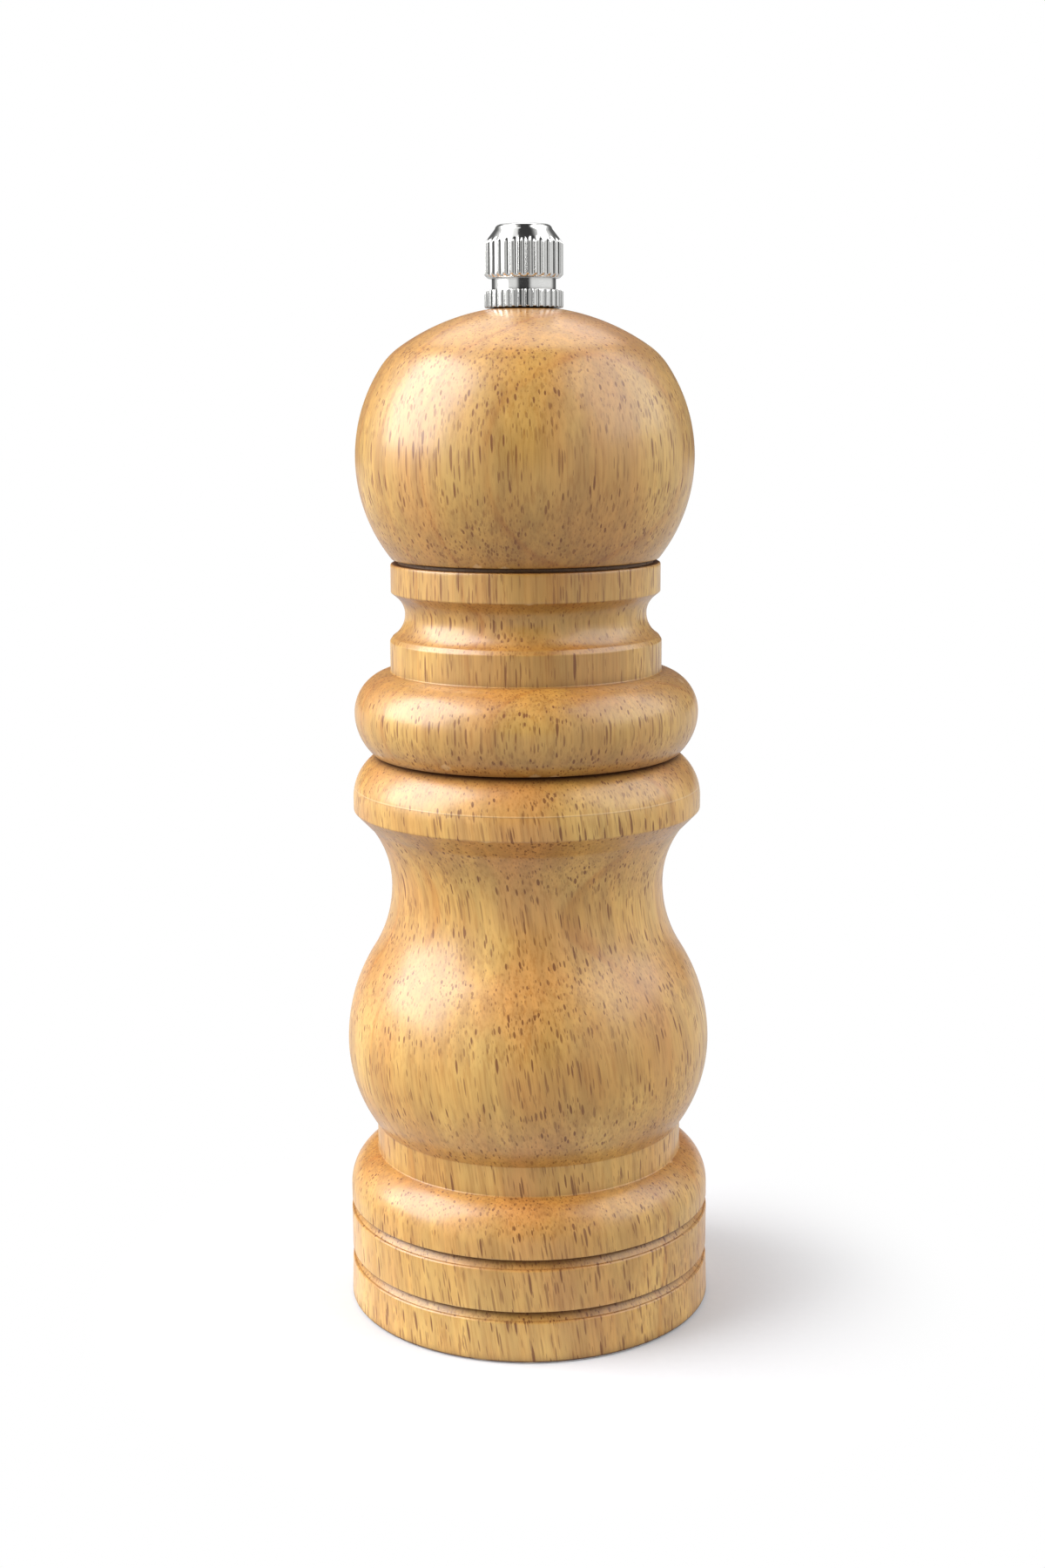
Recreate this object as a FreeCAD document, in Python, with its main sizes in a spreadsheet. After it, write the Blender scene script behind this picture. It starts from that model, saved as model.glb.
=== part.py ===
import FreeCAD, Part
import math
import os
import re
import Sketcher

# A turned wooden pepper mill.  Millimetres, +Z up, origin at the centre of the base's underside.
# The head turns on the barrel and drives the cone of the grinding mechanism through a square shaft.
# The knob on the shaft's threaded tip sets how close the cone comes to its ring.

SIZES = {
    # barrel, outside, from the foot up
    "foot_radius": 26.5,
    "foot_chamfer": 0.35,
    "band_radius": 26.28,
    "lower_groove_height": 7.5,
    "upper_groove_height": 15.1,
    "groove_mouth": 1.7,
    "groove_depth": 1.15,
    "groove_lip": 0.3,
    "groove_lip_round": 0.42,
    "groove_run_out": 0.05,
    "groove_top_fall": 0.15,
    "shoulder_height": 16.9,
    "ring_radius": 22.26,
    "ring_bottom": 22.6,
    "ring_top": 26.9,
    "belly_radius": 26.27,
    "belly_height": 39.06,
    "waist_radius": 19.55,
    "waist_height": 62.2,
    "inflection_share": 0.57,
    "flare_radius": 22.3,
    "flare_height": 70.7,
    "lip_radius": 24.82,
    "lip_height": 73.3,
    "lip_band_top": 75.0,
    "seam_height": 81.3,
    "seam_radius": 20.9,
    # barrel, inside
    "recess_radius": 19.5,
    "recess_height": 6.0,
    "bore_radius": 14.2,
    "bore_chamfer": 0.5,
    # head, outside, from the seam up
    "seam_gap": 0.1,
    "bead_foot_radius": 21.85,
    "bead_radius": 24.41,
    "bead_height": 87.18,
    "neck_radius": 19.2,
    "neck_bottom": 93.0,
    "neck_top": 97.3,
    "neck_round": 0.4,
    "scotia_foot_height": 97.9,
    "scotia_radius": 17.03,
    "scotia_height": 101.05,
    "scotia_top_radius": 18.3,
    "scotia_top_height": 103.6,
    "collar_radius": 18.98,
    "collar_bottom": 104.15,
    "collar_top": 108.2,
    "collar_round": 0.3,
    "quirk_radius": 17.9,
    "quirk_top": 108.65,
    "ball_foot_radius": 18.75,
    "ball_foot_height": 108.75,
    "ball_radius": 23.59,
    "ball_height": 122.63,
    "ball_round": 22.5,
    "ball_angle": 33.7,
    "crown_round": 10.0,
    "crown_angle": 55.0,
    "seat_height": 142.9,
    # head, inside
    "spigot_radius": 13.9,
    "spigot_length": 9.0,
    "spigot_chamfer": 0.6,
    "shaft_bore_radius": 4.1,
    # knob
    "knob_gap": 0.04,
    "knob_radius": 5.42,
    "knob_flange_height": 2.3,
    "knob_neck_radius": 4.4,
    "knob_neck_height": 1.65,
    "knob_chamfer": 0.45,
    "knob_grip_top": 8.55,
    "knob_cone_radius": 3.95,
    "knob_cone_height": 1.9,
    "knob_edge": 0.6,
    "knob_edge_round": 0.72,
    "knob_dish_radius": 2.6,
    "knob_dish_depth": 0.25,
    "knob_thread_depth": 8.9,
    "grip_flutes": 30,
    "grip_flute_radius": 0.42,
    "flange_flutes": 34,
    "flange_flute_radius": 0.3,
    "flute_offset": 0.05,
    # shaft
    "shaft_side": 5.0,
    "shaft_corner": 0.3,
    "shaft_shoulder": 139.6,
    "thread_radius": 2.45,
    "thread_clearance": 0.05,
    "shaft_tip": 150.0,
    "shaft_bottom": 1.6,
    "pin_radius": 2.2,
    "pin_top": 7.7,
    "pin_chamfer": 0.3,
    "clip_groove_radius": 1.7,
    "square_clearance": 0.1,
    "running_clearance": 0.05,
    "fine_clearance": 0.02,
    # driver plate
    "plate_radius": 9.5,
    "plate_thickness": 1.2,
    "plate_clearance": 0.1,
    "plate_screw_offset": 6.6,
    # mechanism housing
    "housing_radius": 14.0,
    "flange_radius": 19.2,
    "flange_bottom": 3.9,
    "housing_bore": 12.5,
    "burr_seat_height": 16.0,
    "burr_seat_radius": 11.9,
    "crown_bottom": 21.6,
    "housing_top": 24.0,
    "boss_radius": 5.6,
    "boss_bore": 3.9,
    "window_radius": 11.8,
    "window_half_angle": 49.0,
    "window_count": 3,
    "key_width": 2.0,
    "key_depth": 0.8,
    "key_root": 0.5,
    "key_clearance": 0.1,
    "key_count": 2,
    "cut_reach": 1.0,
    # burrs and hub
    "ring_bottom_height": 7.5,
    "ring_fine_height": 9.8,
    "ring_fine_radius": 10.3,
    "ring_mouth_radius": 11.7,
    "ring_throat_radius": 10.0,
    "ring_base_radius": 10.45,
    "ring_teeth": 24,
    "ring_tooth_root": 11.05,
    "ring_tooth_half_width": 0.75,
    "cone_bottom": 8.4,
    "cone_base_radius": 9.8,
    "cone_fine_height": 10.0,
    "cone_fine_radius": 9.1,
    "cone_top": 15.2,
    "cone_top_radius": 6.7,
    "cone_teeth": 10,
    "cone_tooth_depth_low": 0.5,
    "cone_tooth_depth_high": 1.2,
    "cone_tooth_half_width": 1.1,
    "cone_tooth_reach": 0.6,
    "cone_tooth_skew": 28.0,
    "hub_radius": 4.8,
    "hub_flange_radius": 7.0,
    "hub_bottom": 7.6,
    # spring and its washers
    "wire_radius": 0.4,
    "coil_radius": 4.3,
    "coil_turns": 3.5,
    "spring_foot": 15.22,
    "spring_head": 20.15,
    "spring_washer_radius": 5.3,
    "spring_washer_thickness": 0.75,
    "spring_washer_bottom": 20.2,
    "thrust_washer_radius": 5.5,
    "thrust_washer_bottom": 21.0,
    "thrust_washer_thickness": 0.58,
    # bottom stack on the shaft
    "shaft_washer_radius": 4.6,
    "shaft_washer_bottom": 6.85,
    "shaft_washer_thickness": 0.7,
    "clip_bottom": 6.22,
    "clip_thickness": 0.56,
    "clip_radius": 3.9,
    "clip_gap": 3.0,
    "circlip_bottom": 6.42,
    "circlip_thickness": 0.96,
    "circlip_inner": 11.2,
    "circlip_outer": 12.95,
    "circlip_gap": 7.0,
    # bridge across the base
    "bridge_bottom": 2.4,
    "bridge_thickness": 1.5,
    "bridge_half_width": 4.6,
    "bridge_half_length": 19.0,
    "bridge_end_radius": 4.7,
    "bush_radius": 3.4,
    "bush_flange_radius": 4.4,
    "bush_flange_thickness": 0.8,
    # screws
    "screw_offset": 16.6,
    "screw_radius": 1.2,
    "screw_hole_radius": 1.45,
    "screw_head_radius": 2.3,
    "screw_head_height": 1.4,
    "screw_crown_radius": 1.27,
    "screw_rim_height": 0.49,
    "screw_head_round": 1.5,
    "screw_length": 8.0,
    "pilot_spare": 0.5,
    "screw_slot_width": 0.6,
    "screw_slot_depth": 0.6,
}

ALIAS = re.compile(r"\b[a-z]+(?:_[a-z]+)+\b")
LEAST_CUT = 1e-3    # cubic millimetres that a cut or pattern has to change

doc = FreeCAD.newDocument("pepper_mill")
sheet = doc.addObject("Spreadsheet::Sheet", "sizes")
for row, (alias, value) in enumerate(SIZES.items(), start=1):
    sheet.set(f"A{row}", alias)
    sheet.set(f"B{row}", str(value))
    sheet.setAlias(f"B{row}", alias)
doc.recompute()


def bound(formula):
    """A formula of sheet aliases, written the way an expression names them."""
    return ALIAS.sub(lambda word: f"sizes.{word.group()}", formula)


def number(formula):
    """What a formula of sheet aliases comes to."""
    return float(sheet.evalExpression(formula))


def bind(target, prop, formula):
    target.setExpression(prop, bound(formula))


def origin_feature(body, role):
    return next(item for item in body.Origin.OriginFeatures if item.Role == role)


def new_body(name):
    body = doc.addObject("PartDesign::Body", name)
    body.Label = name
    return body


def new_sketch(body, name, plane="XZ_Plane", height="0"):
    """A sketch on one of the body's own origin planes, raised along that plane's normal."""
    sketch = body.newObject("Sketcher::SketchObject", f"{body.Name}_{name}")
    sketch.AttachmentSupport = [(origin_feature(body, plane), "")]
    sketch.MapMode = "FlatFace"
    if height != "0":
        bind(sketch, "AttachmentOffset.Base.z", height)
    return sketch


def hold(sketch, kind, formula, *where):
    """A dimension of the sketch, bound to the sheet."""
    label = f"{kind.lower()}_{sketch.ConstraintCount}"
    sketch.addConstraint(Sketcher.Constraint(kind, *where, number(formula)))
    sketch.renameConstraint(sketch.ConstraintCount - 1, label)
    bind(sketch, f"Constraints.{label}", formula)


def pin_point(sketch, edge, end, across, along):
    """Fixes one point by its two distances from the sketch's origin."""
    for kind, formula, axis in (("DistanceX", across, -2), ("DistanceY", along, -1)):
        if formula == "0":
            sketch.addConstraint(Sketcher.Constraint("PointOnObject", edge, end, axis))
        else:
            hold(sketch, kind, formula, -1, 1, edge, end)


def draw_outline(sketch, corners):
    """A closed outline.  A corner is (across, along), reached in a straight line,
    or (across, along, radius, side), reached on an arc with its centre on the left (1) or right (-1)."""
    points = [FreeCAD.Vector(number(corner[0]), number(corner[1]), 0) for corner in corners]
    first = sketch.GeometryCount
    ends = []
    for index, corner in enumerate(corners):
        start, stop = points[index - 1], points[index]
        if len(corner) == 2:
            sketch.addGeometry(Part.LineSegment(start, stop))
            ends.append((1, 2))
            continue
        radius, side = number(corner[2]), corner[3]
        chord = stop - start
        rise = math.sqrt(max(radius ** 2 - chord.Length ** 2 / 4, 0))
        left = FreeCAD.Vector(-chord.y, chord.x, 0).normalize()
        centre = (start + stop) / 2 + left * (rise * side)
        low, high = (start, stop) if side > 0 else (stop, start)
        low_angle = math.atan2(low.y - centre.y, low.x - centre.x)
        high_angle = math.atan2(high.y - centre.y, high.x - centre.x)
        circle = Part.Circle(centre, FreeCAD.Vector(0, 0, 1), radius)
        sketch.addGeometry(Part.ArcOfCircle(circle, low_angle, high_angle))
        ends.append((1, 2) if side > 0 else (2, 1))
    for index, corner in enumerate(corners):
        here, following = first + index, first + (index + 1) % len(corners)
        join = (here, ends[index][1], following, ends[(index + 1) % len(corners)][0])
        sketch.addConstraint(Sketcher.Constraint("Coincident", *join))
        pin_point(sketch, here, ends[index][1], corner[0], corner[1])
        if len(corner) == 4:
            hold(sketch, "Radius", corner[2], here)


def draw_circle(sketch, radius, across="0", along="0"):
    centre = FreeCAD.Vector(number(across), number(along), 0)
    edge = sketch.addGeometry(Part.Circle(centre, FreeCAD.Vector(0, 0, 1), number(radius)))
    pin_point(sketch, edge, 3, across, along)
    hold(sketch, "Radius", radius, edge)


def draw_rectangle(sketch, left, right, bottom, top):
    draw_outline(sketch, [(left, bottom), (right, bottom), (right, top), (left, top)])


def draw_square(sketch, side):
    draw_rectangle(sketch, f"-({side})/2", f"({side})/2", f"-({side})/2", f"({side})/2")


def sweep(wide_across, wide_along, end_across, end_along):
    """Radius of the arc that runs along the axis at one end and passes through the other end."""
    rise = f"({end_along} - ({wide_along}))"
    step = f"({wide_across} - ({end_across}))"
    return f"({rise}^2 + {step}^2) / (2 * abs({step}))"


def turned(body, name, corners):
    """Material turned about Z from an outline in the XZ plane."""
    sketch = new_sketch(body, f"{name}_outline")
    draw_outline(sketch, corners)
    feature = body.newObject("PartDesign::Revolution", f"{body.Name}_{name}")
    feature.Profile = sketch
    feature.ReferenceAxis = (sketch, ["V_Axis"])
    feature.Angle = 360
    doc.recompute()
    return feature


def padded(body, sketch, length):
    feature = body.newObject("PartDesign::Pad", f"{sketch.Name}_pad")
    feature.Profile = sketch
    bind(feature, "Length", length)
    doc.recompute()
    return feature


def pocketed(body, sketch, length):
    """A cut upwards from the sketch, which must remove something."""
    before = body.Shape.Volume
    feature = body.newObject("PartDesign::Pocket", f"{sketch.Name}_cut")
    feature.Profile = sketch
    feature.Reversed = True
    bind(feature, "Length", length)
    doc.recompute()
    if body.Shape.Volume > before - LEAST_CUT:
        raise RuntimeError(f"{feature.Name} cuts nothing")
    return feature


def repeated(body, feature, count):
    """The feature repeated round Z."""
    before = body.Shape.Volume
    pattern = body.newObject("PartDesign::PolarPattern", f"{feature.Name}_all")
    pattern.Originals = [feature]
    pattern.Axis = (origin_feature(body, "Z_Axis"), [""])
    pattern.Angle = 360
    bind(pattern, "Occurrences", count)
    body.Tip = pattern
    doc.recompute()
    if abs(body.Shape.Volume - before) < LEAST_CUT:
        raise RuntimeError(f"{pattern.Name} repeats nothing")


def washer(name, inner, outer, bottom, thickness):
    """A flat ring at its own height, drawn flat and lifted by its placement."""
    body = new_body(name)
    sketch = new_sketch(body, "outline", "XY_Plane")
    draw_circle(sketch, outer)
    draw_circle(sketch, inner)
    padded(body, sketch, thickness)
    bind(body, "Placement.Base.z", bottom)
    return body


def open_ring(name, inner, outer, bottom, thickness, gap):
    """A washer with a gap cut through one side, as on a retaining ring."""
    body = washer(name, inner, outer, bottom, thickness)
    sketch = new_sketch(body, "gap", "XY_Plane")
    draw_rectangle(sketch, "0", f"{outer} + cut_reach", f"-{gap}/2", f"{gap}/2")
    pocketed(body, sketch, thickness)
    return body


def pilot_holes(body, name, offset, along_y, radius, depth):
    """Two holes up from the base plane, one each side of the axis."""
    sketch = new_sketch(body, name, "XY_Plane")
    for sign in ("", "-"):
        centre = ("0", f"{sign}{offset}") if along_y else (f"{sign}{offset}", "0")
        draw_circle(sketch, radius, *centre)
    pocketed(body, sketch, depth)


def groove_corners(height):
    """A V groove seen going up: a rounded lower lip, a long slope in, and an almost level top."""
    inner = "band_radius - groove_depth"
    return [
        ("band_radius + groove_run_out", f"{height} - groove_mouth"),
        ("band_radius - groove_lip", f"{height} - groove_mouth + groove_lip", "groove_lip_round", 1),
        (inner, f"{height} - groove_top_fall"),
        ("band_radius + fine_clearance", height),
    ]


def make_barrel():
    body = new_body("barrel")
    turn_across = "belly_radius + (waist_radius - belly_radius) * inflection_share"
    turn_along = "belly_height + (waist_height - belly_height) * inflection_share"
    bottom_bevel = "foot_radius - foot_chamfer"
    corners = [
        (bottom_bevel, "0"),
        ("foot_radius", "foot_chamfer"),
        *groove_corners("lower_groove_height"),
        *groove_corners("upper_groove_height"),
        ("band_radius", "shoulder_height"),
        ("ring_radius", "ring_bottom",
         sweep("band_radius", "shoulder_height", "ring_radius", "ring_bottom"), 1),
        ("ring_radius", "ring_top"),
        ("belly_radius", "belly_height",
         sweep("belly_radius", "belly_height", "ring_radius", "ring_top"), 1),
        (turn_across, turn_along, sweep("belly_radius", "belly_height", turn_across, turn_along), 1),
        ("waist_radius", "waist_height",
         sweep("waist_radius", "waist_height", turn_across, turn_along), -1),
        ("flare_radius", "flare_height",
         sweep("waist_radius", "waist_height", "flare_radius", "flare_height"), -1),
        ("lip_radius", "lip_height"),
        ("lip_radius", "lip_band_top"),
        ("seam_radius", "seam_height",
         sweep("lip_radius", "lip_band_top", "seam_radius", "seam_height"), 1),
        ("bore_radius + bore_chamfer", "seam_height"),
        ("bore_radius", "seam_height - bore_chamfer"),
        ("bore_radius", "recess_height"),
        ("recess_radius", "recess_height"),
        ("recess_radius", "foot_chamfer"),
        ("recess_radius + foot_chamfer", "0"),
    ]
    turned(body, "turning", corners)
    tip = "flange_bottom + screw_length + pilot_spare"
    pilot_holes(body, "bridge_pilots", "screw_offset", False, "screw_radius + fine_clearance", tip)
    pilot_holes(body, "housing_pilots", "screw_offset", True, "screw_radius + fine_clearance", tip)


def make_head():
    body = new_body("head")
    spigot_end = "seam_height - spigot_length"
    seam = "seam_height + seam_gap"
    plate_recess = "plate_radius + plate_clearance"
    round_across = "ball_radius - ball_round * (1 - cos(ball_angle * 1 deg))"
    round_along = "ball_height + ball_round * sin(ball_angle * 1 deg)"
    crown_across = f"{round_across} - crown_round * (cos(ball_angle * 1 deg) - cos(crown_angle * 1 deg))"
    crown_along = f"{round_along} + crown_round * (sin(crown_angle * 1 deg) - sin(ball_angle * 1 deg))"
    cap_radius = f"({crown_across}) / cos(crown_angle * 1 deg)"
    cap_centre = f"({crown_along}) - ({crown_across}) * tan(crown_angle * 1 deg)"
    seat_across = f"sqrt(({cap_radius})^2 - (seat_height - ({cap_centre}))^2)"
    corners = [
        (plate_recess, spigot_end),
        ("spigot_radius - spigot_chamfer", spigot_end),
        ("spigot_radius", f"{spigot_end} + spigot_chamfer"),
        ("spigot_radius", seam),
        ("bead_foot_radius", seam),
        ("bead_radius", "bead_height", sweep("bead_radius", "bead_height", "bead_foot_radius", seam), 1),
        ("neck_radius", "neck_bottom",
         sweep("bead_radius", "bead_height", "neck_radius", "neck_bottom"), 1),
        ("neck_radius", "neck_top"),
        ("neck_radius - neck_round", "scotia_foot_height"),
        ("scotia_radius", "scotia_height",
         sweep("scotia_radius", "scotia_height", "neck_radius - neck_round", "scotia_foot_height"), -1),
        ("scotia_top_radius", "scotia_top_height",
         sweep("scotia_radius", "scotia_height", "scotia_top_radius", "scotia_top_height"), -1),
        ("collar_radius", "collar_bottom"),
        ("collar_radius", "collar_top - collar_round"),
        ("collar_radius - collar_round", "collar_top", "collar_round", 1),
        ("quirk_radius", "collar_top"),
        ("quirk_radius", "quirk_top"),
        ("ball_foot_radius", "ball_foot_height"),
        ("ball_radius", "ball_height",
         sweep("ball_radius", "ball_height", "ball_foot_radius", "ball_foot_height"), 1),
        (round_across, round_along, "ball_round", 1),
        (crown_across, crown_along, "crown_round", 1),
        (seat_across, "seat_height", cap_radius, 1),
        ("shaft_bore_radius", "seat_height"),
        ("shaft_bore_radius", f"{spigot_end} + plate_thickness"),
        (plate_recess, f"{spigot_end} + plate_thickness"),
    ]
    turned(body, "turning", corners)
    depth = f"{spigot_end} + plate_thickness + screw_length"
    pilot_holes(body, "plate_pilots", "plate_screw_offset", False, "screw_radius + fine_clearance", depth)


def flutes(body, name, bottom, length, radius, count):
    """Round-bottomed flutes down the outside of the knob."""
    sketch = new_sketch(body, name, "XY_Plane", bottom)
    draw_circle(sketch, radius, "knob_radius + flute_offset", "0")
    repeated(body, pocketed(body, sketch, length), count)


def make_knob():
    body = new_body("adjusting_knob")
    bore = "thread_radius + thread_clearance"
    flange_top = "knob_flange_height"
    grip_bottom = "knob_flange_height + knob_neck_height"
    cone_top = "knob_grip_top + knob_cone_height"
    corners = [
        ("knob_radius", "0"),
        ("knob_radius", flange_top),
        ("knob_neck_radius", flange_top),
        ("knob_neck_radius", grip_bottom),
        ("knob_radius - knob_chamfer", grip_bottom),
        ("knob_radius", f"{grip_bottom} + knob_chamfer"),
        ("knob_radius", "knob_grip_top"),
        ("knob_cone_radius", cone_top),
        ("knob_cone_radius - knob_edge", f"{cone_top} + knob_edge", "knob_edge_round", 1),
        ("knob_dish_radius", f"{cone_top} + knob_edge"),
        ("0", f"{cone_top} + knob_edge - knob_dish_depth"),
        ("0", "knob_thread_depth"),
        (bore, "knob_thread_depth"),
        (bore, "0"),
    ]
    turned(body, "turning", corners)
    flutes(body, "flange_flute", "0", flange_top, "flange_flute_radius", "flange_flutes")
    grip_length = f"knob_grip_top - ({grip_bottom})"
    flutes(body, "grip_flute", grip_bottom, grip_length, "grip_flute_radius", "grip_flutes")
    bind(body, "Placement.Base.z", "seat_height + knob_gap")


def make_drive_shaft():
    """A square bar with a turned pin below, grooved for the clip, and a threaded tip above."""
    body = new_body("drive_shaft")
    turned(body, "pin", [
        ("pin_radius - pin_chamfer", "shaft_bottom"),
        ("pin_radius", "shaft_bottom + pin_chamfer"),
        ("pin_radius", "clip_bottom - fine_clearance"),
        ("clip_groove_radius", "clip_bottom - fine_clearance"),
        ("clip_groove_radius", "clip_bottom + clip_thickness + fine_clearance"),
        ("pin_radius", "clip_bottom + clip_thickness + fine_clearance"),
        ("pin_radius", "pin_top"),
        ("0", "pin_top"),
        ("0", "shaft_bottom"),
    ])
    half, cut = "shaft_side / 2", "shaft_side / 2 - shaft_corner"
    sketch = new_sketch(body, "square", "XY_Plane", "pin_top")
    draw_outline(sketch, [
        (cut, f"-{half}"), (half, f"-({cut})"), (half, cut), (cut, half),
        (f"-({cut})", half), (f"-{half}", cut), (f"-{half}", f"-({cut})"), (f"-({cut})", f"-{half}"),
    ])
    padded(body, sketch, "shaft_shoulder - pin_top")
    turned(body, "thread", [
        ("thread_radius", "shaft_shoulder"),
        ("thread_radius", "shaft_tip - pin_chamfer"),
        ("thread_radius - pin_chamfer", "shaft_tip"),
        ("0", "shaft_tip"),
        ("0", "shaft_shoulder"),
    ])


def make_driver_plate():
    body = new_body("driver_plate")
    sketch = new_sketch(body, "outline", "XY_Plane")
    draw_circle(sketch, "plate_radius")
    draw_square(sketch, "shaft_side + 2 * square_clearance")
    draw_circle(sketch, "screw_hole_radius", "plate_screw_offset")
    draw_circle(sketch, "screw_hole_radius", "-plate_screw_offset")
    padded(body, sketch, "plate_thickness")
    bind(body, "Placement.Base.z", "seam_height - spigot_length")


def make_screws(name, offset, along_y, seat):
    """Two slotted wood screws, heads down, one each side of the axis."""
    body = new_body(f"{name}_one")
    turned(body, "turning", [
        ("screw_crown_radius", "-screw_head_height"),
        ("screw_head_radius", "-screw_rim_height", "screw_head_round", 1),
        ("screw_head_radius", "0"),
        ("screw_radius", "0"),
        ("screw_radius", "screw_length - 2 * screw_radius"),
        ("0", "screw_length"),
        ("0", "-screw_head_height"),
    ])
    sketch = new_sketch(body, "slot", "XY_Plane", "-screw_head_height")
    draw_rectangle(sketch, "-screw_head_radius", "screw_head_radius",
                   "-screw_slot_width / 2", "screw_slot_width / 2")
    pocketed(body, sketch, "screw_slot_depth")
    bind(body, f"Placement.Base.{'y' if along_y else 'x'}", offset)
    bind(body, "Placement.Base.z", seat)
    twin = doc.addObject("Part::Mirroring", f"{name}_twin")
    twin.Source = body
    twin.Normal = FreeCAD.Vector(0, 1, 0) if along_y else FreeCAD.Vector(1, 0, 0)
    pair = doc.addObject("Part::Compound", name)
    pair.Links = [body, twin]
    pair.Label = name


def make_housing():
    """The moulded cup that carries the burr ring, with three feed windows in its crown."""
    body = new_body("mechanism_housing")
    groove_bottom = "circlip_bottom - fine_clearance"
    groove_top = "circlip_bottom + circlip_thickness + fine_clearance"
    groove_radius = "circlip_outer + running_clearance"
    turned(body, "turning", [
        ("housing_bore", "flange_bottom"),
        ("flange_radius", "flange_bottom"),
        ("flange_radius", "recess_height"),
        ("housing_radius", "recess_height"),
        ("housing_radius", "housing_top - bore_chamfer"),
        ("housing_radius - bore_chamfer", "housing_top"),
        ("boss_bore", "housing_top"),
        ("boss_bore", "crown_bottom"),
        ("burr_seat_radius", "crown_bottom"),
        ("burr_seat_radius", "burr_seat_height"),
        ("housing_bore", "burr_seat_height"),
        ("housing_bore", groove_top),
        (groove_radius, groove_top),
        (groove_radius, groove_bottom),
        ("housing_bore", groove_bottom),
    ])
    turn = "cos(window_half_angle * 1 deg)", "sin(window_half_angle * 1 deg)"
    window = new_sketch(body, "window", "XY_Plane", "crown_bottom")
    draw_outline(window, [
        (f"boss_radius * {turn[0]}", f"-boss_radius * {turn[1]}", "boss_radius", -1),
        (f"window_radius * {turn[0]}", f"-window_radius * {turn[1]}"),
        (f"window_radius * {turn[0]}", f"window_radius * {turn[1]}", "window_radius", 1),
        (f"boss_radius * {turn[0]}", f"boss_radius * {turn[1]}"),
    ])
    repeated(body, pocketed(body, window, "housing_top - crown_bottom"), "window_count")
    key = new_sketch(body, "key", "XY_Plane", "ring_bottom_height")
    draw_rectangle(key, "housing_bore - key_depth", "housing_bore + key_root",
                   "-key_width / 2", "key_width / 2")
    repeated(body, padded(body, key, "burr_seat_height - ring_bottom_height"), "key_count")
    for name, along_y in (("bridge_holes", False), ("housing_holes", True)):
        pilot_holes(body, name, "screw_offset", along_y, "screw_hole_radius", "recess_height")


def make_burr_ring():
    body = new_body("burr_ring")
    outer = "housing_bore - fine_clearance"
    top = "burr_seat_height - fine_clearance"
    turned(body, "turning", [
        ("ring_base_radius", "ring_bottom_height"),
        (outer, "ring_bottom_height"),
        (outer, top),
        ("ring_mouth_radius", top),
        ("ring_fine_radius", "ring_fine_height"),
    ])
    tooth = new_sketch(body, "tooth", "XY_Plane", "ring_bottom_height")
    draw_outline(tooth, [
        ("ring_throat_radius", "-ring_tooth_half_width"),
        ("ring_tooth_root", "0"),
        ("ring_throat_radius", "ring_tooth_half_width"),
    ])
    length = "burr_seat_height - ring_bottom_height"
    repeated(body, pocketed(body, tooth, length), "ring_teeth")
    slot = new_sketch(body, "slot", "XY_Plane", "ring_bottom_height")
    half_width = "(key_width / 2 + key_clearance)"
    draw_rectangle(slot, "housing_bore - key_depth - key_clearance", "housing_bore + cut_reach",
                   f"-{half_width}", half_width)
    repeated(body, pocketed(body, slot, length), "key_count")


def tooth_section(body, name, height, radius, depth, skew):
    """One triangular section of a cone tooth gap, turned about Z by the skew."""
    root, mouth = f"({radius} - {depth})", f"({radius} + cone_tooth_reach)"
    cosine, sine = f"cos({skew} * 1 deg)", f"sin({skew} * 1 deg)"
    half = "cone_tooth_half_width"
    sketch = new_sketch(body, name, "XY_Plane", height)
    draw_outline(sketch, [
        (f"{root} * {cosine}", f"{root} * {sine}"),
        (f"{mouth} * {cosine} + {half} * {sine}", f"{mouth} * {sine} - {half} * {cosine}"),
        (f"{mouth} * {cosine} - {half} * {sine}", f"{mouth} * {sine} + {half} * {cosine}"),
    ])
    return sketch


def make_burr_cone():
    body = new_body("burr_cone")
    bore = "hub_radius + fine_clearance"
    turned(body, "turning", [
        (bore, "cone_bottom"),
        ("cone_base_radius", "cone_bottom"),
        ("cone_fine_radius", "cone_fine_height"),
        ("cone_top_radius", "cone_top"),
        (bore, "cone_top"),
    ])
    low = tooth_section(body, "tooth_low", "cone_bottom", "cone_base_radius",
                        "cone_tooth_depth_low", "0")
    high = tooth_section(body, "tooth_high", "cone_top", "cone_top_radius",
                         "cone_tooth_depth_high", "cone_tooth_skew")
    before = body.Shape.Volume
    loft = body.newObject("PartDesign::SubtractiveLoft", "burr_cone_gap")
    loft.Profile = low
    loft.Sections = [high]
    loft.Ruled = True
    doc.recompute()
    if body.Shape.Volume > before - LEAST_CUT:
        raise RuntimeError("the cone's tooth gap cuts nothing")
    repeated(body, loft, "cone_teeth")


def make_rotor_hub():
    body = new_body("rotor_hub")
    turned(body, "turning", [
        ("0", "hub_bottom"),
        ("hub_flange_radius", "hub_bottom"),
        ("hub_flange_radius", "cone_bottom - fine_clearance"),
        ("hub_radius", "cone_bottom - fine_clearance"),
        ("hub_radius", "cone_top"),
        ("0", "cone_top"),
    ])
    sketch = new_sketch(body, "square", "XY_Plane", "hub_bottom")
    draw_square(sketch, "shaft_side + 2 * square_clearance")
    pocketed(body, sketch, "cone_top - hub_bottom")


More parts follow.
